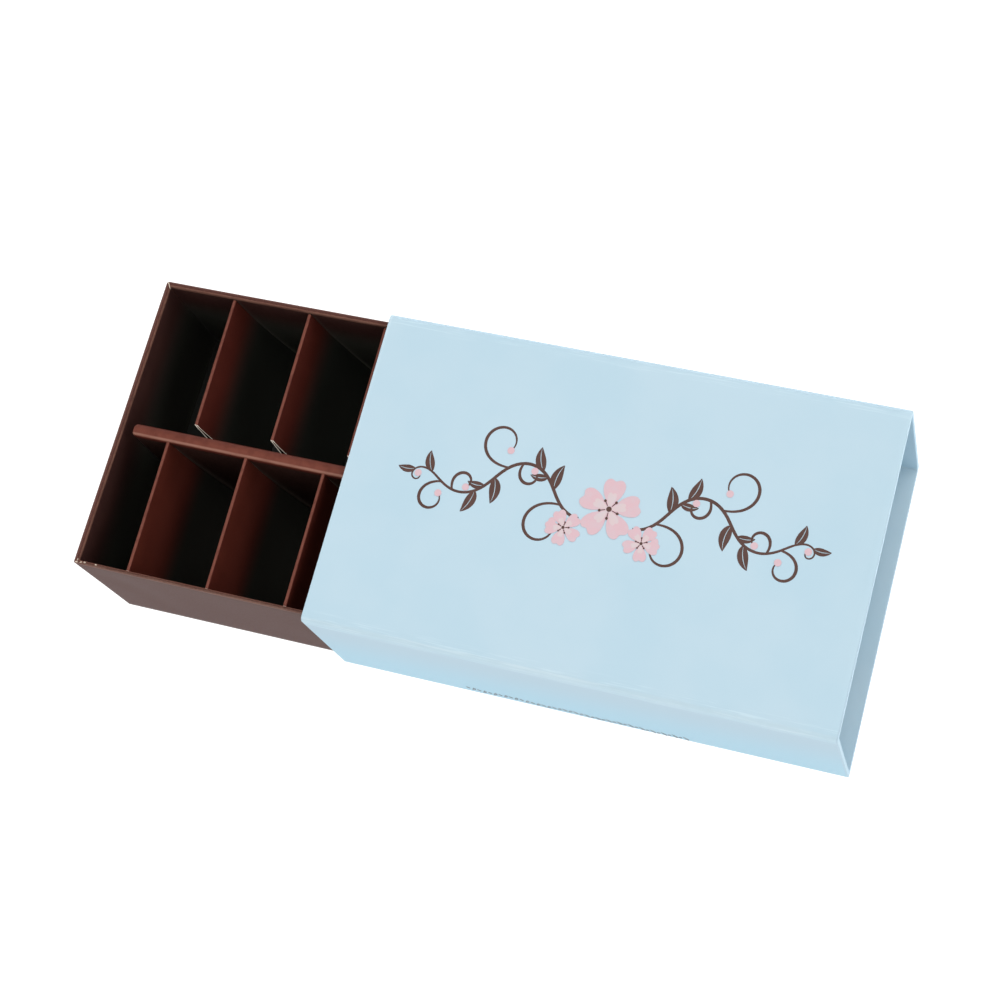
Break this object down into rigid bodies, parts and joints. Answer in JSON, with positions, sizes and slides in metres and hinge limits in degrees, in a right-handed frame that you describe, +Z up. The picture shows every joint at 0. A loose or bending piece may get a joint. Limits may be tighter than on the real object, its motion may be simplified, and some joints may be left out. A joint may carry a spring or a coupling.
{
  "type": "drawer gift box for chocolates",
  "caption": "Flat gift box for chocolates: a pale sleeve open at both ends, and a brown tray that slides in it, with a centre bar and folded card fins parting it into cells.",
  "frame": {"origin": "on the ground, under the middle of the box as it stands half open", "axes": "+X along the box, the tray comes out towards -X; +Y across the box; +Z up"},
  "size_m": [0.2606, 0.108, 0.0555],
  "materials": {
    "sleeve_board": "pale blue paper with a soft sheen over rigid board",
    "tray_board": "dark brown coated board with a soft sheen",
    "insert_card": "dark brown coated card, its cut edges off-white"
  },
  "bodies": {
    "sleeve": {"sleeve": "sleeve_board"},
    "drawer": {"tray": "tray_board", "divider": "tray_board", "liner_far": "insert_card", "liner_near": "insert_card"}
  },
  "joints": [
    {"name": "drawer_slide", "type": "slide", "parent": "sleeve", "child": "drawer", "axis": [-1, 0, 0], "range_m": [-0.0835, 0.1]}
  ]
}
